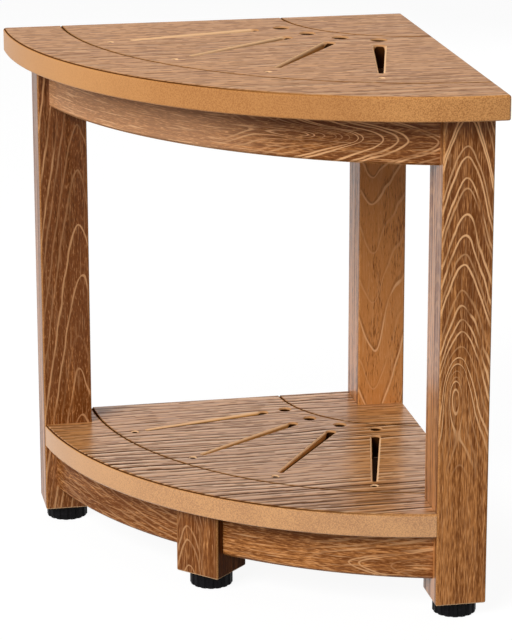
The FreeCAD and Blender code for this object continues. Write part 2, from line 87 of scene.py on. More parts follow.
class BenchColours(bpy.types.PropertyGroup):
    """Colours of the boards, fixings and feet"""

    panel_tan: colour_setting("Panel tan", "Printed face of the seat and shelf", (0.60, 0.280, 0.098))
    panel_brown: colour_setting("Panel brown", "Darker fibres of the printed face", (0.32, 0.126, 0.034))
    panel_line: colour_setting("Panel line", "Pressed lines of the printed face", (0.080, 0.025, 0.006))
    # Painted highlight on the raised streak beside each pressed line
    panel_highlight: colour_setting("Panel light", "Raised streaks beside those lines", (0.85, 0.53, 0.30))
    core_ochre: colour_setting("Core", "Sawn edges", (0.64, 0.305, 0.100))
    core_speck: colour_setting("Core speck", "Darker specks in the sawn edges", (0.39, 0.157, 0.042))
    # Painted shade in the ring grooves
    groove_shade: colour_setting("Groove", "Ring grooves in the printed face", (0.060, 0.024, 0.009))
    # Pale colour of the rounded slot rims, partly their own and partly painted highlight; also painted
    # light on the sawn edges and a painted highlight at the legs' lower ends
    pale_rim_and_highlight: colour_setting("Slot rim", "Rounded rims of the slots and holes", (0.88, 0.55, 0.30))
    # Painted light on the upper part of the slot walls
    slot_wall_light: colour_setting("Slot gold", "Upper part of the slot walls", (0.82, 0.40, 0.125))
    # Painted shade deep in the slots and holes, and the corner blocks' own dark colour
    slot_shade_and_block: colour_setting("Slot wall", "Inside of the slots and holes", (0.036, 0.012, 0.003))
    frame_tan: colour_setting("Frame tan", "Lighter fibres of legs and rails", (0.56, 0.222, 0.060))
    frame_brown: colour_setting("Frame brown", "Darker fibres of legs and rails", (0.165, 0.047, 0.008))
    frame_dark: colour_setting("Frame dark", "Darkest fibres of legs and rails", (0.070, 0.020, 0.004))
    # Painted sheen on the pale part of a board
    frame_sheen: colour_setting("Frame bloom", "Bloom on the pale part of a board", (0.60, 0.42, 0.31))
    frame_line: colour_setting("Frame line", "Raised ring lines of legs and rails", (0.84, 0.46, 0.215))
    pad_black: colour_setting("Pad", "Moulded feet", (0.0045, 0.0042, 0.0048))
    steel: colour_setting("Steel", "Screws, bolts, nuts and studs", (0.58, 0.57, 0.55))
    brass: colour_setting("Brass", "Threaded inserts", (0.62, 0.42, 0.15))
    dowel: colour_setting("Dowel", "Dowels", (0.55, 0.36, 0.19))


class BenchGrain(bpy.types.PropertyGroup):
    """Sizes of the printed grain"""

    ring_step: length_setting("Ring step", "From one arch to the next along a leg", 0.0150)
    ring_gap: length_setting("Ring gap", "From one ring line to the next across a leg", 0.0042)
    ring_width: length_setting("Ring width", "Width of a ring line", 0.0017)
    ring_tip: length_setting("Ring tip", "How round the tips of the arches are", 0.0095)
    fibre_width: length_setting("Fibre width", "Width of the fine fibres of legs and rails", 0.0008)
    strand_width: length_setting("Strand width", "Width of the long strands of legs and rails", 0.0029)
    hair_width: length_setting("Hair width", "Width of the light hairs of legs and rails", 0.0013)
    hair_length: length_setting("Hair length", "Length of the light hairs of legs and rails", 0.030)
    streak_width: length_setting("Streak width", "Width of the streaks of the seat and shelf", 0.0036)


class BenchStage(bpy.types.PropertyGroup):
    """Camera and lamps"""

    lens: bpy.props.FloatProperty(
        name="Lens", description="Focal length", default=156.2, unit="CAMERA")
    eye: bpy.props.FloatVectorProperty(
        name="Eye", description="Where the camera stands", default=(-0.4222, -2.2370, 0.9067),
        subtype="TRANSLATION")
    pitch: angle_setting("Pitch", "How far the camera looks down", 15.40)
    yaw: angle_setting("Yaw", "How far the camera is turned to the left", -11.24)
    shift_x: number_setting("Shift across", "Framing, as a share of the picture's longer side", -0.020)
    shift_y: number_setting("Shift up", "Framing, as a share of the picture's longer side", -0.10)
    key: number_setting("Key", "Power of the lamp at the left", 256.0)
    back: number_setting("Back", "Power of the lamp behind", 22.0)
    top: number_setting("Top", "Power of the lamp overhead", 5.0)
    room: number_setting("Room", "Light from all round", 0.15)


class Reading:
    """A number or colour on its way through a finish. Arithmetic on it adds Math nodes."""

    def __init__(self, finish, socket):
        self.finish = finish
        self.socket = socket

    def __add__(self, other):
        return self.finish.math("ADD", self, other)

    def __radd__(self, other):
        return self.finish.math("ADD", other, self)

    def __sub__(self, other):
        return self.finish.math("SUBTRACT", self, other)

    def __rsub__(self, other):
        return self.finish.math("SUBTRACT", other, self)

    def __mul__(self, other):
        return self.finish.math("MULTIPLY", self, other)

    def __rmul__(self, other):
        return self.finish.math("MULTIPLY", other, self)

    def __truediv__(self, other):
        return self.finish.math("DIVIDE", self, other)

    def __rtruediv__(self, other):
        return self.finish.math("DIVIDE", other, self)

    def __pow__(self, other):
        return self.finish.math("POWER", self, other)

    def __rpow__(self, other):
        return self.finish.math("POWER", other, self)

    def __abs__(self):
        return self.finish.math("ABSOLUTE", self)


def opaque(colour):
    """A colour of three numbers gets its fourth. A reading stays as it is."""
    return colour if isinstance(colour, Reading) else (*colour, 1.0)


class Finish:
    """A material, or the light of the room, built from nodes."""

    def __init__(self, name, tree=None):
        if tree is None:
            self.material = bpy.data.materials.new(name)
            self.material.use_nodes = True
            tree = self.material.node_tree
        self.tree = tree
        self.tree.nodes.clear()

    def node(self, kind, settings=None, sockets=None, output=0):
        made = self.tree.nodes.new(kind)
        for name, value in (settings or {}).items():
            setattr(made, name, value)
        for name, value in (sockets or {}).items():
            if isinstance(value, Reading):
                self.tree.links.new(value.socket, made.inputs[name])
            else:
                made.inputs[name].default_value = value
        return Reading(self, made.outputs[output]) if made.outputs else None

    def math(self, operation, *values):
        return self.node("ShaderNodeMath", {"operation": operation}, dict(enumerate(values)))

    def larger(self, first, second):
        return self.math("MAXIMUM", first, second)

    def ease(self, value, start, end):
        """0 at start, 1 at end, and smooth between them."""
        return self.node("ShaderNodeMapRange", {"interpolation_type": "SMOOTHSTEP"},
                         {"Value": value, "From Min": start, "From Max": end})

    def blend(self, first, second, factor):
        """A colour between two colours."""
        return self.node("ShaderNodeMix", {"data_type": "RGBA"},
                         {0: factor, 6: opaque(first), 7: opaque(second)}, 2)

    def place(self, centre=(0.0, 0.0, 0.0), turn=0.0):
        """Distances from a centre along the piece's own axes, which may be turned about the upright."""
        where = self.node("ShaderNodeTexCoord", output="Object")
        moved = self.node("ShaderNodeVectorMath", {"operation": "SUBTRACT"},
                          {0: where, 1: tuple(centre)})
        turned = self.node("ShaderNodeMapping", {"vector_type": "POINT"},
                           {"Vector": moved, "Rotation": (0.0, 0.0, turn)})
        x = self.node("ShaderNodeSeparateXYZ", None, {0: turned})
        y, z = (Reading(self, socket) for socket in x.socket.node.outputs[1:])
        return x, y, z

    def noise(self, along, across, depth, detail=2.0, roughness=0.5):
        """Noise from 0 to 1 whose features are about one unit of each of its three numbers."""
        where = self.node("ShaderNodeCombineXYZ", None, {0: along, 1: across, 2: depth})
        return self.node("ShaderNodeTexNoise", None,
                         {"Vector": where, "Scale": 1.0, "Detail": detail, "Roughness": roughness})

    def even_noise(self, x, y, z, features, detail=2.0, roughness=0.5):
        """Noise with as many features per metre one way as another."""
        return self.noise(x * features, y * features, z * features, detail, roughness)

    def chance(self, number):
        """A number from 0 to 1 drawn for each whole number."""
        return self.node("ShaderNodeTexWhiteNoise", {"noise_dimensions": "1D"}, {"W": number})

    def shade(self, colour, roughness, height, relief, constants=None):
        """The surface. height is in millimetres, and relief is how strongly it shows."""
        bump = self.node("ShaderNodeBump", None,
                         {"Strength": relief, "Distance": MILLIMETRE, "Height": height})
        sockets = {"Base Color": colour, "Roughness": roughness, "Normal": bump}
        sockets.update(constants or {})
        surface = self.node("ShaderNodeBsdfPrincipled", None, sockets)
        self.node("ShaderNodeOutputMaterial", None, {"Surface": surface})
        return self.material


class Look:
    """Values that describe a board. Those that aren't given keep the default of their class."""

    def __init__(self, **values):
        for name, value in values.items():
            setattr(self, name, value)


def at_least(share, least):
    """A share from 0 to 1, spread from the least value to 1."""
    return share * (1.0 - least) + least


def about_middle(share, spread):
    """A share from 0 to 1, narrowed to a spread about a half."""
    return share * spread + (1.0 - spread) / 2


def wear(name, material):
    """A CAD node takes a material in all its slots."""
    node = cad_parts[name]
    for slot in node.material_slots:
        slot.material = material


def core_surface(finish, x, y, z, colours):
    """Colour and height of sawn board: fine specks without grain."""
    specks_per_metre = 900.0
    clouds_per_metre = 30.0
    speck_share = 0.8
    tones = (0.36, 0.61)
    specks = finish.even_noise(x, y, z, specks_per_metre, roughness=0.6)
    cloud = finish.even_noise(x, y, z, clouds_per_metre)
    amount = finish.ease(specks * speck_share + cloud * (1.0 - speck_share), *tones)
    colour = finish.blend(colours.core_speck, colours.core_ochre, amount)
    return colour, specks


class Plan(Look):
    """Where the print, slots and grooves of the seat or the shelf are, in metres.

    A pair, apart from grooves and slots, is where something fades in or out.
    """

    low = None      # lower corner of the board's box
    high = None     # upper corner of it
    grooves = None  # from the board's corner to the inner and the outer ring groove
    slots = None    # from the board's corner to where the slots begin and end

    hole_end = (17.0 * MILLIMETRE, 12.5 * MILLIMETRE)    # inner holes end, past the slots' beginning
    pinhole_start = (-2.0 * MILLIMETRE, 1.0 * MILLIMETRE)  # outer holes begin, past the slots' end
    slotted_to = (10.0 * MILLIMETRE, 0.0)                # walls inside the outer groove are those of slots
    slotted_from = (12.0 * MILLIMETRE, 18.0 * MILLIMETRE)  # if they are this far from the straight edges
    groove_strip = (2.2 * MILLIMETRE, 1.3 * MILLIMETRE)  # strip along a groove without rim and coat
    groove_shade_half = (0.7 * MILLIMETRE, 1.2 * MILLIMETRE)   # half width of the painted shade in a groove
    groove_shade_depth = (2.2 * MILLIMETRE, 1.9 * MILLIMETRE)  # depth down to which a groove has painted shade
    print_depth = (0.45 * MILLIMETRE, 0.15 * MILLIMETRE)  # depth of the print
    rim_depth = (0.10 * MILLIMETRE, 0.03 * MILLIMETRE)   # depth of the print at the slots' rims


class Press(Look):
    """How the grain of the seat or the shelf is pressed, and how its slots and edges look.

    Lengths are in metres. Offsets and widths of lines and pores are shares of the gap or the row.
    The defaults are those of the shelf.
    """

    seed = 47.0                 # which lines and pores are drawn

    gap = 0.0080                # from one pressed line to the next
    run = 0.090                 # about how long a line is
    wide = 1.45                 # how much wider the lines are
    pressed = 1.0               # how dark the lines are
    uneven = 0.4                # how far a line may lie off its place
    swells = (8.0, 40.0)        # swells of the lines per metre, along and across
    line_noise = (0.32, 0.54)   # noise at which a line fades in
    line_edge = (0.05, 0.19)    # half width of a line, dark and with its fading edge
    highlight_off = 0.26            # how far the painted highlight streak lies from its line
    highlight_edge = (0.06, 0.24)   # half width of the painted highlight streak, light and with its fading edge
    weakest = 0.6               # strength of the weakest line
    bold_patches = (3.0, 11.0)  # patches of bold lines per metre, along and across
    bold_noise = (0.44, 0.58)   # noise at which a bold patch fades in
    fine = 0.4                  # strength of the lines between the bold patches
    front = (-0.05, -0.11)      # where the bold lines of the round front fade in
    front_wide = 0.4            # how much wider they are there

    bend = 0.024                # how far the grain bends
    bends = (5.0, 14.0)         # bends per metre, along and across
    waver = 0.0015              # how far the grain wavers
    wavers = (32.0, 70.0)       # wavers per metre, along and across

    row = 0.0046                # from one row of pores to the next
    dash = 0.018                # about how long a pore is
    pores = 0.65                # how dark the pores are
    pore_off = 0.5              # how far a row may lie off its place
    pore_noise = (0.46, 0.58)   # noise at which a pore fades in
    pore_edge = (0.08, 0.28)    # half width of a pore, dark and with its fading edge

    streaks = 13.0              # streaks per metre along the grain
    flecks = (35.0, 420.0)      # flecks per metre, along and across
    patches = (6.0, 14.0)       # patches per metre, along and across
    tone_shares = (0.35, 0.55, 0.1)  # of streaks, flecks and patches
    tones = (0.38, 0.58)        # tones of the brown and of the tan
    heights = (0.3, 0.5, 0.4)   # of streaks, flecks and light streaks in millimetres
    core_height = 0.25          # of the specks in the sawn edge in millimetres
    relief = 0.7                # how strongly these heights show

    matt = 0.65                 # roughness below the coat
    matt_ior = 1.04             # refraction below the coat
    sheen = 1.0                 # weight of the coat
    sheen_least = 0.85          # share of it away from the light streaks
    gloss = 0.28                # roughness of the coat
    gloss_ior = 1.75            # refraction of the coat
    edge_sheen = 0.9            # weight of the coat on the sawn edge
    edge_sheen_from = (1.0 * MILLIMETRE, 2.5 * MILLIMETRE)  # depth at which that coat fades in

    # Painted light and shade in the slots and holes: the walls are painted light down to these depths and
    # painted shade below them
    lit_wall = 4.5 * MILLIMETRE     # how far down the slot walls are light
    lit_flat = 0.3                  # share of that in the slots beside the back edge
    lit_turn = (0.2, 0.7)           # sine of a slot's angle to that edge, over which the share rises
    lit_narrow = 0.5                # how much less of it is light at the slots' outer ends
    lit_hole = 0.9 * MILLIMETRE     # how far down the inner holes are light
    lit_pinhole = 0.4 * MILLIMETRE  # how far down the outer holes are light
    dark_by = 1.6                   # how many times as far down they are dark
    dark_more = 0.5 * MILLIMETRE    # and how much further than that
    gold_from = 0.7 * MILLIMETRE    # how far down the walls begin to turn from pale to golden
    gold_by = 2.6                   # how many times as far down they are golden
    hole_shade = 0.7                 # painted shade: how much darker the inner holes are

    # Painted light and shade on the sawn edge
    painted_edge_light = 0.12            # painted light: how much paler the sawn edge is
    edge_shade_share = 0.0             # painted shade: how much darker it is from the middle to the left
    edge_shade_from = (0.12, 0.03)    # where that painted shade fades in
    painted_sheen_from = (-0.06, -0.16)  # where a painted sheen fades in, towards the left
    painted_sheen = 0.6                 # how much the specks fade under that painted sheen
    painted_sheen_pale = 0.04           # how much paler that painted sheen makes the edge
    seam_end = 0.16             # where the dark seam under the face ends, at the right
    seam_fade = 0.16            # over what length it fades in
    seam_top = (0.15 * MILLIMETRE, 0.4 * MILLIMETRE)   # depth at which it fades in
    seam_foot = (1.5 * MILLIMETRE, 1.0 * MILLIMETRE)   # depth at which it fades out


def pressed_lines(finish, x, y, across, press):
    """Strength of the dark pressed lines and of the painted highlight streaks beside them."""
    swell = finish.noise(x * press.swells[0], across * press.swells[1], press.seed, detail=1.0)
    field = swell + across / press.gap
    number = finish.math("FLOOR", field) + press.seed * LINES_PER_SEED
    apart = finish.math("FRACT", field) - about_middle(finish.chance(number), press.uneven)
    shown = finish.noise(x / press.run, number * LINE_STEP, press.seed + LINE_DRAW)
    patch = finish.noise(x * press.bold_patches[0], y * press.bold_patches[1], press.seed + BOLD_DRAW,
                         detail=1.0)
    front = finish.ease(y, *press.front)
    bold = finish.larger(finish.ease(patch, *press.bold_noise), front)
    own = at_least(finish.chance(number + STRENGTH_DRAW), press.weakest)
    strength = finish.ease(shown, *press.line_noise) * own * at_least(bold, press.fine)
    wide = (front * press.front_wide + 1.0) * press.wide
    line = 1.0 - finish.ease(abs(apart), *[wide * edge for edge in press.line_edge])
    highlight_edge = [press.wide * edge for edge in press.highlight_edge]
    bright = 1.0 - finish.ease(abs(apart + press.highlight_off), *highlight_edge)
    return line * strength, bright * strength


def pressed_pores(finish, x, across, press):
    """Strength of the short pores, which lie in rows."""
    rows = across / press.row
    row = finish.math("FLOOR", rows) + press.seed * ROWS_PER_SEED
    apart = finish.math("FRACT", rows) - about_middle(finish.chance(row), press.pore_off)
    inked = finish.noise(x / press.dash, row * LINE_STEP, press.seed + PORE_DRAW, detail=1.0)
    pore = 1.0 - finish.ease(abs(apart), *press.pore_edge)
    return pore * finish.ease(inked, *press.pore_noise) * press.pores


def printed_face(finish, x, y, press, colours, grain):
    """Colour and height of the printed face, and the weight of its coat."""
    bend = finish.noise(x * press.bends[0], y * press.bends[1], press.seed) * press.bend
    waver = finish.noise(x * press.wavers[0], y * press.wavers[1], press.seed) * press.waver
    across = y + (bend + waver)
    line, bright = (strength * press.pressed for strength in pressed_lines(finish, x, y, across, press))
    pore = pressed_pores(finish, x, across, press)
    streak = finish.noise(x * press.streaks, across / grain.streak_width, press.seed,
                          detail=3.0, roughness=0.65)
    fleck = finish.noise(x * press.flecks[0], across * press.flecks[1], press.seed + FLECK_DRAW,
                         roughness=0.6)
    patch = finish.noise(x * press.patches[0], y * press.patches[1], press.seed + PATCH_DRAW)
    streak_share, fleck_share, patch_share = press.tone_shares
    tone = finish.ease(streak * streak_share + fleck * fleck_share + patch * patch_share, *press.tones)
    colour = finish.blend(colours.panel_brown, colours.panel_tan, tone)
    # Painted highlight on the raised streaks beside the pressed lines
    colour = finish.blend(colour, colours.panel_highlight, bright)
    colour = finish.blend(colour, colours.panel_line, line)
    colour = finish.blend(colour, colours.panel_line, pore)
    streak_height, fleck_height, light_height = press.heights
    height = streak * streak_height + fleck * fleck_height + bright * light_height - line
    coat = (1.0 - line) * (1.0 - pore) * at_least(bright, press.sheen_least) * press.sheen
    return colour, height, coat


def slot_colour(finish, y, depth, to_corner, plan, press, colours):
    """Painted light and shade of the slots and holes: pale rims, partly their own pale colour and partly
    painted highlight, painted light on the golden upper walls and painted shade in their depths.
    """
    start, end = plan.slots
    in_hole = finish.ease(to_corner - start, *plan.hole_end)
    in_pinhole = finish.ease(to_corner - end, *plan.pinhole_start)
    # The painted light reaches less far down in slots beside the back edge and at the slots' outer ends
    turned = at_least(finish.ease((CORNER.y - y) / to_corner, *press.lit_turn), press.lit_flat)
    narrowing = 1.0 - finish.ease(to_corner, start, end) * press.lit_narrow
    lit = turned * narrowing * press.lit_wall * (1.0 - in_hole) + in_hole * press.lit_hole
    lit = lit * (1.0 - in_pinhole) + in_pinhole * press.lit_pinhole
    # Pale rims, partly painted highlight, turn to painted light on the golden walls below
    golden = finish.ease(depth, press.gold_from, press.gold_from * press.gold_by)
    colour = finish.blend(colours.pale_rim_and_highlight, colours.slot_wall_light, golden)
    # Painted shade in the inner holes
    colour = finish.blend(colour, colours.core_speck, in_hole * press.hole_shade)
    # Painted shade deeper down
    painted_depth_shade = finish.ease(depth, lit, lit * press.dark_by + press.dark_more)
    return finish.blend(colour, colours.slot_shade_and_block, painted_depth_shade)


def edge_colour(finish, x, depth, core, press, colours):
    """Sawn edge with a thin dark seam under the face: painted light makes the shelf's edge paler, a
    painted sheen makes the left end smoother and paler, and painted shade darkens the seat's edge from the
    middle to the left.
    """
    # Painted sheen towards the left, painted shade from the middle to the left and painted light over the
    # whole edge
    painted_sheen = finish.ease(x, *press.painted_sheen_from)
    edge_shade = finish.ease(x, *press.edge_shade_from) * press.edge_shade_share
    seam = finish.ease(depth, *press.seam_top) * finish.ease(depth, *press.seam_foot)
    seam = seam * finish.ease(x, press.seam_end, press.seam_end - press.seam_fade)
    colour = finish.blend(core, colours.core_speck, edge_shade)
    colour = finish.blend(colour, colours.core_ochre, painted_sheen * press.painted_sheen)
    colour = finish.blend(colour, colours.pale_rim_and_highlight, painted_sheen * press.painted_sheen_pale + press.painted_edge_light)
    return finish.blend(colour, colours.panel_line, seam)


def panel_finish(name, plan, press, colours, grain):
    """Printed board with a pressed grain along X and sawn edges, with pale slot rims, painted light and
    shade in the slots and on the edges, and painted shade in the ring grooves.
    """
    finish = Finish(name)
    x, y, z = finish.place()
    core, specks = core_surface(finish, x, y, z, colours)
    printed, pressing, face_coat = printed_face(finish, x, y, press, colours, grain)

    depth = plan.high.z - z
    to_corner = finish.math("SQRT", (CORNER.x - x) ** 2.0 + (CORNER.y - y) ** 2.0)
    to_wall = finish.math("MINIMUM", CORNER.x - x, CORNER.y - y)
    slotted = finish.ease(to_corner - plan.grooves[1], *plan.slotted_to)
    slotted = slotted * finish.ease(to_wall, *plan.slotted_from)
    from_grooves = [abs(to_corner - radius) for radius in plan.grooves]
    strips = [finish.ease(near, *plan.groove_strip) for near in from_grooves]
    in_groove = strips[0] + strips[1]
    rimmed = slotted * (1.0 - in_groove)
    upper = finish.ease(depth, *plan.print_depth) * (1.0 - rimmed)
    upper = upper + finish.ease(depth, *plan.rim_depth) * rimmed
    skin = finish.larger(upper, finish.ease(z - plan.low.z, *plan.print_depth))

    edge = edge_colour(finish, x, depth, core, press, colours)
    slot = slot_colour(finish, y, depth, to_corner, plan, press, colours)
    colour = finish.blend(edge, slot, slotted)
    colour = finish.blend(colour, printed, skin)
    # Painted shade in the ring grooves
    above = finish.ease(depth, *plan.groove_shade_depth)
    for near in from_grooves:
        dark = 1.0 - finish.ease(near, *plan.groove_shade_half)
        colour = finish.blend(colour, colours.groove_shade, dark * above)

    height = skin * pressing + (1.0 - skin) * specks * press.core_height
    edge_coat = finish.ease(depth, *press.edge_sheen_from) * (1.0 - skin) * (1.0 - slotted)
    coat = skin * face_coat * (1.0 - in_groove) + edge_coat * press.edge_sheen
    constants = {"IOR": press.matt_ior, "Coat Weight": coat, "Coat Roughness": press.gloss,
                 "Coat IOR": press.gloss_ior}
    return finish.shade(colour, press.matt, height, press.relief, constants)


class Ring(Look):
    """How the ring lines and fibres of one board run.

    Lengths and places along the board are in metres. Edges are shares of a ring line's width.
    """

    seed = 0.0                  # which lines and patches are drawn
    far_seed = 9.0              # added to it past the middle of the board's thickness

    middle = 0.0                # line that the arches are centred on
    rise = 1.0                  # way that the arches point
    stretch = 1.0               # how much further apart the arches are
    gap = 1.0                   # how much further apart the lines are across the board
    shown = (-0.1, 0.0)         # where along the board the lines fade in
    reach = 1.0                 # how far from the middle the lines go
    reach_fade = 0.008          # over what length they fade out there
    strength = 1.0              # how light the lines are
    weakest = 0.35              # share of that in the weakest line
    own_chance = (0.05, 0.4)    # chance at which a line is weak or strong
    uneven = 0.76               # how far a line may lie off its place, as a share of its gap
    breaks = (14.0, 60.0)       # breaks of the lines per metre, along and across
    break_noise = (0.28, 0.52)  # noise at which a line fades in
    line_edge = (0.2, 0.65)     # half width of a line, light and with its fading edge
    shadow_edge = (0.2, 1.0)    # half width of the shadow beside it, likewise
    bend = 0.014                # how far the lines bend
    bends = (6.0, 22.0)         # bends per metre, along and across
    bend_lines = 2.4            # by how many lines an arch moves along in a bend
    waver = 0.004               # how far the lines waver
    wavers = (32.0, 75.0)       # wavers per metre, along and across
    knot = None                 # place along and across, half length and half width of a knot
    knot_lines = 4.5            # how many lines run round the knot

    dark = 0.0                  # how much darker the board is
    shade_drift = 0.0                 # painted shade: how much darker it gets in a metre along the board
    fibre = 0.012               # length of the fibres
    fleck = 0.0                 # how much more the fibres stand out
    light_fibre = 0.32          # how light the lightest fibres are
    fibre_noise = (0.54, 0.72)  # noise at which a fibre gets light
    hair = 0.2                  # how light the fine light hairs are
    hair_noise = (0.58, 0.70)   # noise at which a hair fades in
    dim = 0.7                   # how much less light these are on a dark board
    dim_from = (0.10, 0.30)     # darkness at which they get so
    strands = 5.0               # long strands per metre along the board
    patches = (14.0, 70.0)      # patches per metre, along and across
    mottle = 0.0                # how much darker and lighter the patches are
    grade_shares = (0.5, 0.3, 0.2)  # of fibres, strands and patches
    tones = (0.39, 0.61)        # grades of the brown and of the tan
    dark_tones = (0.14, 0.38)   # grades of the darkest fibres and of the brown
    shadow = 0.5                # how much darker the shadows are

    pale = None                 # where along the board a painted sheen makes it pale
    pale_tan = 0.35             # how much more of the tan there is then
    pale_fibre = 0.8            # how much lighter the light fibres and hairs are then
    pale_line = 0.10            # how much of the ring lines' colour is added then
    pale_sheen = 0.22           # how much of the painted sheen's colour there is then

    side_strand = 0.75          # how much more the strands stand out on the sides
    side_share = 0.2            # share of the darkness that the sides take
    side_shade = 0.0             # painted shade: how much darker the side at the positive edge is
    side_edge = (2.0 * MILLIMETRE, 0.5 * MILLIMETRE)  # how far from that edge this fades in

    coat_noise = (0.36, 0.50)   # noise of the strands at which the coat is least and whole
    coat_least = 0.5            # share of the coat on the dullest strands
    face_coat = 0.16            # weight of the coat on the faces
    side_coat = 0.16            # weight of the coat on the sides
    fibre_height = 0.35         # height of the fibres in millimetres
    line_height = 0.4           # height of the ring lines in millimetres


def ring_lines(finish, along, across, depth, half, ring, face, grain):
    """Strength of the arched ring lines and of the shadows beside them."""
    step = grain.ring_step * ring.stretch
    gap = grain.ring_gap * ring.gap
    seed = finish.ease(depth, -MILLIMETRE, MILLIMETRE) * ring.far_seed + ring.seed
    bend = finish.noise(along * ring.bends[0], across * ring.bends[1], seed) - NOISE_MIDDLE
    waver = finish.noise(along * ring.wavers[0], across * ring.wavers[1], seed) - NOISE_MIDDLE
    side = across - ring.middle + bend * ring.bend + waver * ring.waver
    into = abs(depth) - half + grain.ring_tip
    radius = finish.math("SQRT", side ** 2.0 + into ** 2.0)
    count = along * (ring.rise / step) + radius / gap + bend * ring.bend_lines
    if ring.knot:
        knot_along, knot_across, half_length, half_width = ring.knot
        far = ((along - knot_along) / half_length) ** 2.0 + ((across - knot_across) / half_width) ** 2.0
        count = count - ring.knot_lines * finish.math("EXPONENT", 0.0 - far)
    slope = finish.math("SQRT", (side / radius / gap) ** 2.0 + (1.0 / step) ** 2.0)
    number = finish.math("FLOOR", count) + ring.seed * LINES_PER_SEED
    apart = (finish.math("FRACT", count) - about_middle(finish.chance(number), ring.uneven)) / slope
    own = finish.ease(finish.chance(number + STRENGTH_DRAW), *ring.own_chance)
    whole = finish.noise(along * ring.breaks[0], across * ring.breaks[1], seed + BREAK_DRAW)
    strength = finish.ease(whole, *ring.break_noise) * at_least(own, ring.weakest)
    strength = strength * finish.ease(along, *ring.shown) * face * ring.strength
    off_middle = abs(across - ring.middle)
    strength = strength * finish.ease(off_middle, ring.reach + ring.reach_fade, ring.reach)
    line_edge = [grain.ring_width * edge for edge in ring.line_edge]
    shadow_edge = [grain.ring_width * edge for edge in ring.shadow_edge]
    line = 1.0 - finish.ease(abs(apart), *line_edge)
    shadow = 1.0 - finish.ease(abs(apart + grain.ring_width), *shadow_edge)
    return line * strength, shadow * strength


def ring_surface(finish, along, across, depth, half, ring, face, colours, grain):
    """Colour, coat and height of printed board with fine fibres, and with ring lines where face is 1.

    depth is measured from the middle of the board, which is twice half thick.
    """
    line, shadow = ring_lines(finish, along, across, depth, half, ring, face, grain)
    fibre = finish.noise(along / ring.fibre, across / grain.fibre_width, depth / grain.fibre_width,
                         roughness=0.6)
    strand = finish.noise(along * ring.strands, across / grain.strand_width, depth / grain.strand_width)
    patch = finish.noise(along * ring.patches[0], across * ring.patches[1],
                         depth * ring.patches[1] + ring.seed, detail=3.0, roughness=0.6)
    hair = finish.noise(along / grain.hair_length, across / grain.hair_width, depth / grain.hair_width,
                        detail=1.0)

    # Painted shade that grows along the board, added to the board's darkness
    shade = (along * ring.shade_drift + ring.dark) * at_least(face, ring.side_share)
    shade = shade - (strand - NOISE_MIDDLE) * (1.0 - face) * ring.side_strand
    # Painted shade on the side at the positive edge
    if ring.side_shade:
        shade = shade + finish.ease(half - across, *ring.side_edge) * ring.side_shade
    fibre_share, strand_share, patch_share = ring.grade_shares
    grade = fibre * fibre_share + strand * strand_share + patch * patch_share - shade
    grade = grade + (patch - NOISE_MIDDLE) * ring.mottle + (fibre - NOISE_MIDDLE) * ring.fleck
    tone = finish.ease(grade, *ring.tones) * (1.0 - shadow * ring.shadow)
    light_fibre = finish.ease(fibre, *ring.fibre_noise) * ring.light_fibre
    light_hair = finish.ease(hair, *ring.hair_noise) * ring.hair
    bright = finish.larger(light_fibre, light_hair) * (1.0 - finish.ease(shade, *ring.dim_from) * ring.dim)
    # Painted sheen on the pale part: more tan, lighter fibres and some of the ring lines' colour
    if ring.pale:
        pale = finish.ease(along, *ring.pale)
        tone = tone + (1.0 - tone) * pale * ring.pale_tan
        bright = bright * (1.0 + pale * ring.pale_fibre) + pale * ring.pale_line

    dark = finish.ease(grade, *ring.dark_tones)
    colour = finish.blend(colours.frame_dark, colours.frame_brown, dark)
    colour = finish.blend(colour, colours.frame_tan, tone)
    colour = finish.blend(colour, colours.frame_line, finish.larger(line, bright))
    # The painted sheen's colour on that pale part
    if ring.pale:
        colour = finish.blend(colour, colours.frame_sheen, pale * ring.pale_sheen)
    coat = at_least(finish.ease(strand, *ring.coat_noise), ring.coat_least)
    coat = coat * (face * (ring.face_coat - ring.side_coat) + ring.side_coat)
    return colour, coat, fibre * ring.fibre_height + line * ring.line_height


def printed_board(finish, colour, coat, height):
    """Legs, aprons and rails: matt print under a thin coat."""
    constants = {"IOR": 1.10, "Coat Weight": coat, "Coat Roughness": 0.28, "Coat IOR": 1.75}
    return finish.shade(colour, roughness=0.6, height=height, relief=0.4, constants=constants)


def leg_finish(node, ring, turn, colours, grain):
    """Upright board: rings about the upright, lighter arrises, a painted highlight along the lower arris
    and a sawn lower end.
    """
    face_edge = (-1.5 * MILLIMETRE, 0.0)
    face_least = 0.2
    arris_width = (1.9 * MILLIMETRE, 0.7 * MILLIMETRE)
    arris_share = 0.55
    lower_highlight = (1.3 * MILLIMETRE, 0.9 * MILLIMETRE)
    sawn_height = (0.3 * MILLIMETRE, 0.15 * MILLIMETRE)
    low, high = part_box(node)
    centre = (low + high) / 2
    half = LEG_WIDTH / 2
    finish = Finish(node + "_board")
    x, y, z = finish.place((centre.x, centre.y, 0.0), turn)
    face = at_least(finish.ease(abs(y) - abs(x), *face_edge), face_least)
    colour, coat, height = ring_surface(finish, z, x, y, half, ring, face, colours, grain)
    core = core_surface(finish, x, y, z, colours)[0]
    from_arris = half - finish.math("MINIMUM", abs(x), abs(y))
    above_end = z - low.z
    colour = finish.blend(colour, core, finish.ease(from_arris, *arris_width) * arris_share)
    # Painted highlight along the rounded lower arris
    colour = finish.blend(colour, colours.pale_rim_and_highlight, finish.ease(above_end, *lower_highlight))
    colour = finish.blend(colour, core, finish.ease(above_end, *sawn_height))
    return printed_board(finish, colour, coat, height)


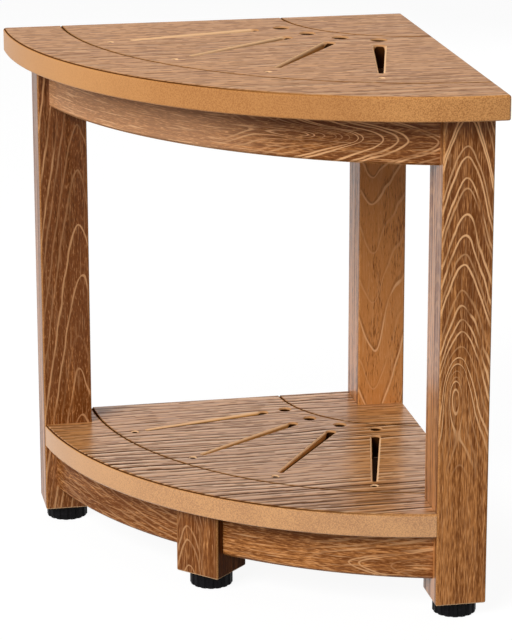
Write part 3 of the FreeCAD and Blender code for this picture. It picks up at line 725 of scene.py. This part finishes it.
def apron_finish(node, ring, colours, grain):
    """Curved board: rings along the arc and a lighter lower edge."""
    foot_height = (1.6 * MILLIMETRE, 0.4 * MILLIMETRE)
    foot_share = 0.35
    low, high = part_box(node)
    half = (high.z - low.z) / 2
    finish = Finish(node + "_board")
    x, y, z = finish.place((APRON_CENTRE.x, APRON_CENTRE.y, (low.z + high.z) / 2))
    angle = finish.math("WRAP", finish.math("ARCTAN2", y, x), 2.0 * math.pi, 0.0)
    along = (angle - APRON_MIDDLE) * APRON_RADIUS
    depth = finish.math("SQRT", x ** 2.0 + y ** 2.0) - APRON_RADIUS + RAIL_HALF
    colour, coat, height = ring_surface(finish, along, z, depth, RAIL_HALF, ring, 1.0, colours, grain)
    core = core_surface(finish, x, y, z, colours)[0]
    colour = finish.blend(colour, core, finish.ease(z + half, *foot_height) * foot_share)
    return printed_board(finish, colour, coat, height)


def rail_finish(node, ring, along_y, colours, grain):
    """Straight board that lies along one wall."""
    low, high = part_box(node)
    finish = Finish(node + "_board")
    x, y, z = finish.place((low + high) / 2)
    along, depth = (y, x) if along_y else (x, y)
    colour, coat, height = ring_surface(finish, along, z, depth, RAIL_HALF, ring, 1.0, colours, grain)
    return printed_board(finish, colour, coat, height)


def block_finish(name, colours):
    """Corner blocks of dark moulded board."""
    speck_noise = (0.35, 0.9)
    speck_share = 0.12
    speck_height = 0.3
    finish = Finish(name)
    x, y, z = finish.place()
    core, specks = core_surface(finish, x, y, z, colours)
    colour = finish.blend(colours.slot_shade_and_block, core, finish.ease(specks, *speck_noise) * speck_share)
    return finish.shade(colour, roughness=0.6, height=specks * speck_height, relief=0.5,
                        constants={"IOR": 1.2})


def metal_finish(name, colour, roughness):
    """Turned metal with fine drawn lines."""
    lines_across = 1500.0
    lines_along = 300.0
    line_roughness = 0.12
    line_height = 0.05
    clouds_per_metre = 90.0
    cloud_noise = (0.35, 0.65)
    cloud_dim = 0.8
    finish = Finish(name)
    x, y, z = finish.place()
    drawn = finish.noise(x * lines_across, y * lines_across, z * lines_along, detail=3.0)
    cloud = finish.even_noise(x, y, z, clouds_per_metre)
    dim = tuple(part * cloud_dim for part in colour)
    tint = finish.blend(dim, colour, finish.ease(cloud, *cloud_noise))
    return finish.shade(tint, roughness + drawn * line_roughness, drawn * line_height, relief=0.4,
                        constants={"Metallic": 1.0})


def dowel_finish(name, colours):
    """Beech dowels."""
    flecks_across = 700.0
    flecks_along = 120.0
    fleck_noise = (0.35, 0.6)
    fleck_dark = 0.65
    fleck_height = 0.2
    finish = Finish(name)
    x, y, z = finish.place()
    fleck = finish.noise(x * flecks_across, y * flecks_across, z * flecks_along, detail=3.0)
    dark = tuple(part * fleck_dark for part in colours.dowel)
    tint = finish.blend(dark, colours.dowel, finish.ease(fleck, *fleck_noise))
    return finish.shade(tint, roughness=0.65, height=fleck * fleck_height, relief=0.5)


def pad_finish(name, colours):
    """Moulded black plastic with a fine matt texture."""
    grains_per_metre = 1400.0
    grain_height = 0.12
    scuffs_across = 130.0
    scuffs_up = 260.0
    scuff_noise = (0.5, 0.75)
    scuff_light = 2.2
    plain_roughness = 0.38
    scuff_roughness = 0.16
    finish = Finish(name)
    x, y, z = finish.place()
    fine = finish.even_noise(x, y, z, grains_per_metre)
    scuff = finish.noise(x * scuffs_across, y * scuffs_across, z * scuffs_up, detail=3.0)
    lighter = tuple(part * scuff_light for part in colours.pad_black)
    tint = finish.blend(colours.pad_black, lighter, finish.ease(scuff, *scuff_noise))
    return finish.shade(tint, plain_roughness + scuff * scuff_roughness, fine * grain_height, relief=0.4,
                        constants={"IOR": 1.18})


class BENCH_OT_panels(bpy.types.Operator):
    """Give the seat and the shelf their printed faces and sawn edges, with painted light and shade in
    their slots and on their edges and painted shade in their grooves
    """

    bl_idname = "bench.panels"
    bl_label = "Seat and shelf"

    plans = {
        "seat_top": Plan(
            low=SEAT_LOW, high=SEAT_HIGH, grooves=(0.1125, 0.3108), slots=(0.1420, 0.2888)),
        "shelf_panel": Plan(
            low=SHELF_LOW, high=SHELF_HIGH, grooves=(0.1145, 0.29006), slots=(0.1360, 0.2680)),
    }
    presses = {
        "seat_top": Press(
            seed=11.0, gap=0.0160, run=0.045, waver=0.003, wide=1.2, pressed=0.30,
            row=0.0052, dash=0.012, pores=0.55, sheen=0.84, gloss=0.40, gloss_ior=1.42,
            lit_flat=0.8, lit_hole=0.8 * MILLIMETRE, gold_from=1.4 * MILLIMETRE,
            # Painted light and shade on the sawn edge
            painted_edge_light=0.0, edge_shade_share=0.5, seam_end=0.08),
        "shelf_panel": Press(),
    }
    names = {"seat_top": "seat_board", "shelf_panel": "shelf_board"}

    def execute(self, context):
        scene = context.scene
        for node, name in self.names.items():
            board = panel_finish(name, self.plans[node], self.presses[node], scene.bench_colours,
                                 scene.bench_grain)
            wear(node, board)
        return {"FINISHED"}


class BENCH_OT_legs(bpy.types.Operator):
    """Give each leg its own printed rings"""

    bl_idname = "bench.legs"
    bl_label = "Legs"

    rings = {
        "leg_left": Ring(
            # Painted shade towards the top, under the seat
            seed=2.0, middle=0.012, stretch=3.0, gap=1.5, strength=0.5, dark=0.10, shade_drift=0.26,
            fibre=0.006, side_coat=0.8),
        "leg_right": Ring(
            # Painted shade towards the top, under the seat
            seed=8.0, middle=-0.002, shown=(0.11, 0.19), dark=-0.015, shade_drift=0.2,
            knot=(0.198, -0.009, 0.028, 0.009), fibre=0.010, side_coat=1.0),
        "leg_back": Ring(
            seed=14.0, middle=-0.008, rise=-1.0, shown=(-0.2, 0.0), stretch=2.4, gap=2.6, strength=0.8,
            dark=-0.17, fibre=0.008, fleck=0.5, mottle=0.6, side_coat=0.9),
        "leg_front": Ring(
            seed=21.0, middle=-0.008, stretch=1.2, strength=0.45, reach=0.009, dark=0.08,
            # Painted shade on the side turned from the lamp
            side_shade=0.27, side_coat=0.0),
    }
    turns = {"leg_front": math.radians(45.0)}

    def execute(self, context):
        scene = context.scene
        for node, ring in self.rings.items():
            turn = self.turns.get(node, 0.0)
            wear(node, leg_finish(node, ring, turn, scene.bench_colours, scene.bench_grain))
        return {"FINISHED"}


class BENCH_OT_aprons(bpy.types.Operator):
    """Give the curved aprons printed rings that follow their arc"""

    bl_idname = "bench.aprons"
    bl_label = "Aprons"

    rings = {
        "apron_seat_front": Ring(
            # Painted shade towards the right end, under the seat's overhang
            seed=31.0, middle=-0.002, shown=(0.0, 0.06), strength=0.9, dark=0.035, shade_drift=0.2,
            # Painted sheen on the left part
            knot=(0.10, 0.0, 0.035, 0.006), pale=(0.10, -0.02), fibre=0.006, hair=0.45),
        "apron_shelf_left": Ring(
            seed=37.0, middle=0.012, rise=-1.0, shown=(-0.3, -0.1), stretch=1.5, strength=0.35,
            dark=0.06, fibre=0.007, hair=0.4),
        "apron_shelf_right": Ring(
            seed=43.0, middle=-0.010, rise=-1.0, shown=(0.08, 0.16), stretch=1.8, strength=0.6,
            dark=0.03, fibre=0.007, hair=0.5),
    }

    def execute(self, context):
        scene = context.scene
        for node, ring in self.rings.items():
            wear(node, apron_finish(node, ring, scene.bench_colours, scene.bench_grain))
        return {"FINISHED"}


class BENCH_OT_rails(bpy.types.Operator):
    """Give the straight rails along the walls their printed rings"""

    bl_idname = "bench.rails"
    bl_label = "Rails"

    seeds = {
        "rail_seat_back": 51.0,
        "rail_seat_side": 57.0,
        "rail_shelf_back": 63.0,
        "rail_shelf_side": 69.0,
    }

    def execute(self, context):
        scene = context.scene
        for node, seed in self.seeds.items():
            ring = Ring(seed=seed, middle=0.003, shown=(-0.4, 0.1), stretch=1.4, strength=0.8)
            along_y = node.endswith("side")
            wear(node, rail_finish(node, ring, along_y, scene.bench_colours, scene.bench_grain))
        return {"FINISHED"}


class BENCH_OT_blocks(bpy.types.Operator):
    """Give the corner blocks behind the rails dark moulded board"""

    bl_idname = "bench.blocks"
    bl_label = "Corner blocks"

    def execute(self, context):
        board = block_finish("block_moulding", context.scene.bench_colours)
        for level in ("seat", "shelf"):
            for side in ("left", "right", "back"):
                wear("block_" + level + "_" + side, board)
        return {"FINISHED"}


class BENCH_OT_fixings(bpy.types.Operator):
    """Give screws, bolts, nuts, studs, inserts and dowels their metal or wood"""

    bl_idname = "bench.fixings"
    bl_label = "Fixings"

    def execute(self, context):
        colours = context.scene.bench_colours
        steel = metal_finish("drawn_steel", colours.steel, roughness=0.26)
        brass = metal_finish("turned_brass", colours.brass, roughness=0.30)
        beech = dowel_finish("beech", colours)
        for level in ("seat", "shelf"):
            for kind in ("hanger_bolts_", "hanger_nuts_", "block_screws_"):
                wear(kind + level, steel)
            wear(level + "_screws", steel)
            wear("rail_dowels_" + level, beech)
        wear("leg_dowels", beech)
        wear("foot_inserts", brass)
        for leg in ("left", "right", "back", "front"):
            wear("foot_" + leg + "_stud", steel)
        return {"FINISHED"}


class BENCH_OT_feet(bpy.types.Operator):
    """Give the levelling pads moulded black plastic"""

    bl_idname = "bench.feet"
    bl_label = "Feet"

    def execute(self, context):
        plastic = pad_finish("pad_moulding", context.scene.bench_colours)
        for leg in ("left", "right", "back", "front"):
            wear("foot_" + leg + "_pad", plastic)
        return {"FINISHED"}


def lamp(name, place, target, size, power):
    """A square soft lamp that faces a point and leaves no glare on the boards."""
    data = bpy.data.lights.new(name, "AREA")
    data.shape = "SQUARE"
    data.size = size
    data.energy = power
    holder = bpy.data.objects.new(name, data)
    holder.location = place
    holder.visible_glossy = False
    holder.rotation_euler = (Vector(target) - Vector(place)).to_track_quat("-Z", "Y").to_euler()
    bpy.context.scene.collection.objects.link(holder)


def seen_directly(finish):
    """1 for what the camera sees, by itself, in a reflection or through glass."""
    path = finish.node("ShaderNodeLightPath")
    outputs = path.socket.node.outputs
    seen = Reading(finish, outputs["Is Camera Ray"])
    for kind in ("Is Glossy Ray", "Is Transmission Ray"):
        seen = finish.larger(seen, Reading(finish, outputs[kind]))
    return seen


class BENCH_OT_stage(bpy.types.Operator):
    """Set a pale floor, soft lamps, a white room and the camera"""

    bl_idname = "bench.stage"
    bl_label = "Stage"

    middle = (0.0, 0.0, 0.25)
    key_place = (-3.0, -2.8, 2.9)
    key_size = 2.6
    back_place = (1.6, 1.6, 0.7)
    top_place = (-0.2, 0.2, 2.1)
    other_size = 1.4
    floor_half = 12.0
    floor_drop = 0.02 * MILLIMETRE
    floor_seen = (0.88, 0.88, 0.88)
    floor_unseen = (0.34, 0.34, 0.34)
    floor_glow = 1.05
    glow_share = 0.88
    white = (1.0, 1.0, 1.0, 1.0)
    sensor_width = 36.0

    def execute(self, context):
        stage = context.scene.bench_stage
        self.floor()
        self.room(stage)
        lamp("key_lamp", self.key_place, self.middle, self.key_size, stage.key)
        lamp("back_lamp", self.back_place, self.middle, self.other_size, stage.back)
        lamp("top_lamp", self.top_place, self.middle, self.other_size, stage.top)
        data = bpy.data.cameras.new("camera")
        data.lens = stage.lens
        data.sensor_width = self.sensor_width
        data.shift_x = stage.shift_x
        data.shift_y = stage.shift_y
        camera = bpy.data.objects.new("camera", data)
        camera.location = stage.eye
        camera.rotation_euler = (math.pi / 2 - stage.pitch, 0.0, stage.yaw)
        context.scene.collection.objects.link(camera)
        context.scene.camera = camera
        context.scene.view_settings.view_transform = "Standard"
        return {"FINISHED"}

    def floor(self):
        work = bmesh.new()
        bmesh.ops.create_grid(work, x_segments=1, y_segments=1, size=self.floor_half)
        mesh = bpy.data.meshes.new("floor")
        work.to_mesh(mesh)
        work.free()
        ground = bpy.data.objects.new("floor", mesh)
        ground.location.z = -self.floor_drop
        bpy.context.scene.collection.objects.link(ground)
        finish = Finish("pale_floor")
        seen = seen_directly(finish)
        paint = finish.blend(self.floor_unseen, self.floor_seen, seen)
        matt = finish.node("ShaderNodeBsdfDiffuse", None, {"Color": paint})
        glow = finish.node("ShaderNodeEmission", None, {"Color": self.white, "Strength": self.floor_glow})
        mixed = finish.node("ShaderNodeMixShader", None, {0: seen * self.glow_share, 1: matt, 2: glow})
        finish.node("ShaderNodeOutputMaterial", None, {"Surface": mixed})
        mesh.materials.append(finish.material)

    def room(self, stage):
        world = bpy.data.worlds.new("room")
        bpy.context.scene.world = world
        world.use_nodes = True
        finish = Finish("room", world.node_tree)
        strength = at_least(seen_directly(finish), stage.room)
        light = finish.node("ShaderNodeBackground", None, {"Color": self.white, "Strength": strength})
        finish.node("ShaderNodeOutputWorld", None, {"Surface": light})


class BENCH_PT_steps(bpy.types.Panel):
    """Lists the steps of the bench and its settings"""

    bl_idname = "BENCH_PT_steps"
    bl_label = "Corner shower bench"
    bl_space_type = "VIEW_3D"
    bl_region_type = "UI"
    bl_category = "Bench"

    def draw(self, context):
        for step in STEPS:
            self.layout.operator(step.bl_idname)
        for group in GROUPS:
            settings = getattr(context.scene, group)
            for name in settings.__annotations__:
                self.layout.prop(settings, name)


GROUPS = {"bench_colours": BenchColours, "bench_grain": BenchGrain, "bench_stage": BenchStage}
STEPS = (BENCH_OT_stage, BENCH_OT_panels, BENCH_OT_legs, BENCH_OT_aprons, BENCH_OT_rails,
         BENCH_OT_blocks, BENCH_OT_fixings, BENCH_OT_feet)


def register():
    for group in GROUPS.values():
        bpy.utils.register_class(group)
    for step in STEPS:
        bpy.utils.register_class(step)
    bpy.utils.register_class(BENCH_PT_steps)
    for name, group in GROUPS.items():
        setattr(bpy.types.Scene, name, bpy.props.PointerProperty(type=group))


def unregister():
    for name in GROUPS:
        delattr(bpy.types.Scene, name)
    bpy.utils.unregister_class(BENCH_PT_steps)
    for step in reversed(STEPS):
        bpy.utils.unregister_class(step)
    for group in GROUPS.values():
        bpy.utils.unregister_class(group)


def main():
    register()
    bpy.ops.bench.stage()
    bpy.ops.bench.panels()
    bpy.ops.bench.legs()
    bpy.ops.bench.aprons()
    bpy.ops.bench.rails()
    bpy.ops.bench.blocks()
    bpy.ops.bench.fixings()
    bpy.ops.bench.feet()


if __name__ == "__main__":
    main()
